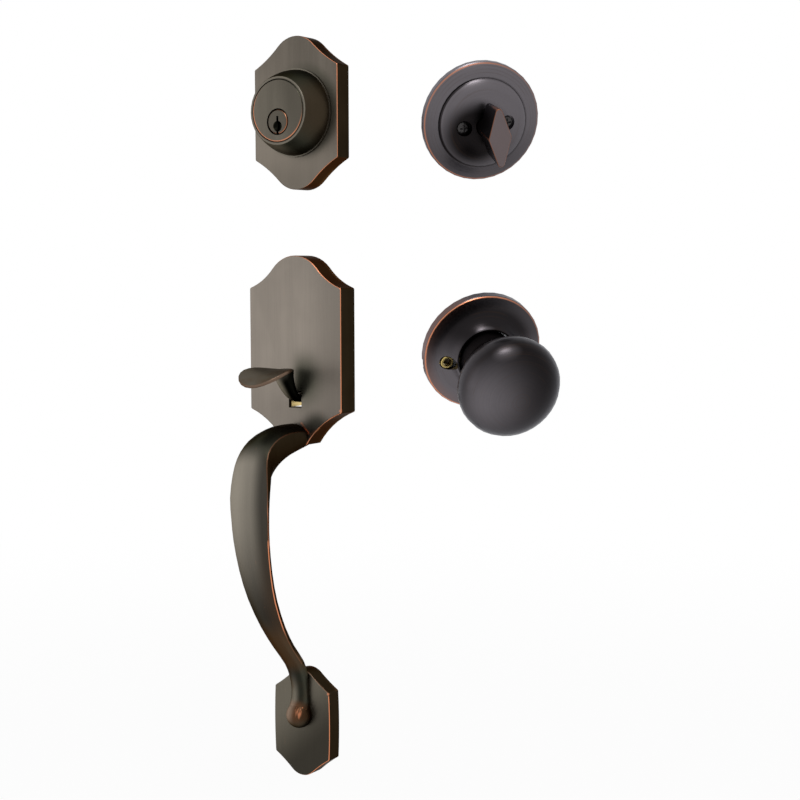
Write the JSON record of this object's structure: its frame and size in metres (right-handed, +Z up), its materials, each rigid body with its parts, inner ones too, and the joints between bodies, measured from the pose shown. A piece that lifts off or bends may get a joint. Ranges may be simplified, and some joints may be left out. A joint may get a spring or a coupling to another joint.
{
  "type": "entry door handleset",
  "caption": "Entry door set: outside deadbolt, thumbpiece handle with a curved grip, inside thumbturn and round knob, in dark aged bronze.",
  "frame": {"origin": "on the door's outer face, in the middle of the solid root of the handle casting, between its upper plate and its grip", "axes": "+Z up, +Y from outside into the door, +X to the right as seen from outside; the two inside units stand to the right, each with its own lean"},
  "size_m": [0.2801, 0.1897, 0.4884],
  "materials": {
    "aged_bronze": "brushed dark bronze, rubbed through to copper at the edges",
    "dark_bronze": "near-black bronze with fine circular brushing and copper rims",
    "gunmetal": "dark plated screws",
    "yellow_zinc": "yellow zinc plate",
    "bright_steel": "plain zinc plate",
    "brass": "turned brass",
    "spring_steel": "bare spring steel"
  },
  "bodies": {
    "root": {"deadbolt_plate": "aged_bronze", "cylinder_collar": "aged_bronze", "cylinder_housing": "aged_bronze", "handle_casting": "aged_bronze", "lever_bracket": "yellow_zinc", "pivot_pin": "bright_steel", "return_spring": "spring_steel", "bracket_screw_left": "bright_steel", "bracket_screw_right": "bright_steel", "handle_post_left": "bright_steel", "handle_post_right": "bright_steel", "lower_post": "bright_steel", "turn_rose": "dark_bronze", "turn_plate": "bright_steel", "turn_washer": "spring_steel", "turn_screw_left": "gunmetal", "turn_screw_right": "gunmetal", "knob_rose": "dark_bronze", "knob_plate": "bright_steel", "knob_sleeve_left": "brass", "knob_sleeve_right": "brass", "spring_cassette": "bright_steel"},
    "plug": {"cylinder_plug": "aged_bronze", "plug_retainer": "brass", "tailpiece": "bright_steel"},
    "thumb": {"thumbpiece": "aged_bronze", "thumb_lever": "yellow_zinc"},
    "turn": {"thumb_turn": "dark_bronze", "turn_clip": "spring_steel"},
    "knob": {"knob": "dark_bronze", "knob_shank": "bright_steel", "knob_spindle": "bright_steel", "shank_ring": "spring_steel", "knob_set_screw": "gunmetal"}
  },
  "joints": [
    {"name": "plug_turn", "type": "hinge", "parent": "root", "child": "plug", "pos_m": [0, 0, 0.1994], "axis": [0, -1, 0], "range_deg": [-90, 90]},
    {"name": "thumb_press", "type": "hinge", "parent": "root", "child": "thumb", "pos_m": [0, -0.0045, 0.022], "axis": [1, 0, 0], "range_deg": [0, 12], "stiffness_Nm_per_rad": 0.3, "springref_deg": -8.59, "deforming": ["return_spring"]},
    {"name": "thumbturn_turn", "type": "hinge", "parent": "root", "child": "turn", "pos_m": [0.1746, -0.0794, 0.1881], "axis": [0.6916, -0.6405, -0.3338], "range_deg": [-90, 90]},
    {"name": "knob_turn", "type": "hinge", "parent": "root", "child": "knob", "pos_m": [0.186, -0.0985, 0.0622], "axis": [0.7098, -0.5956, -0.3762], "range_deg": [-55, 55], "stiffness_Nm_per_rad": 0.25}
  ]
}
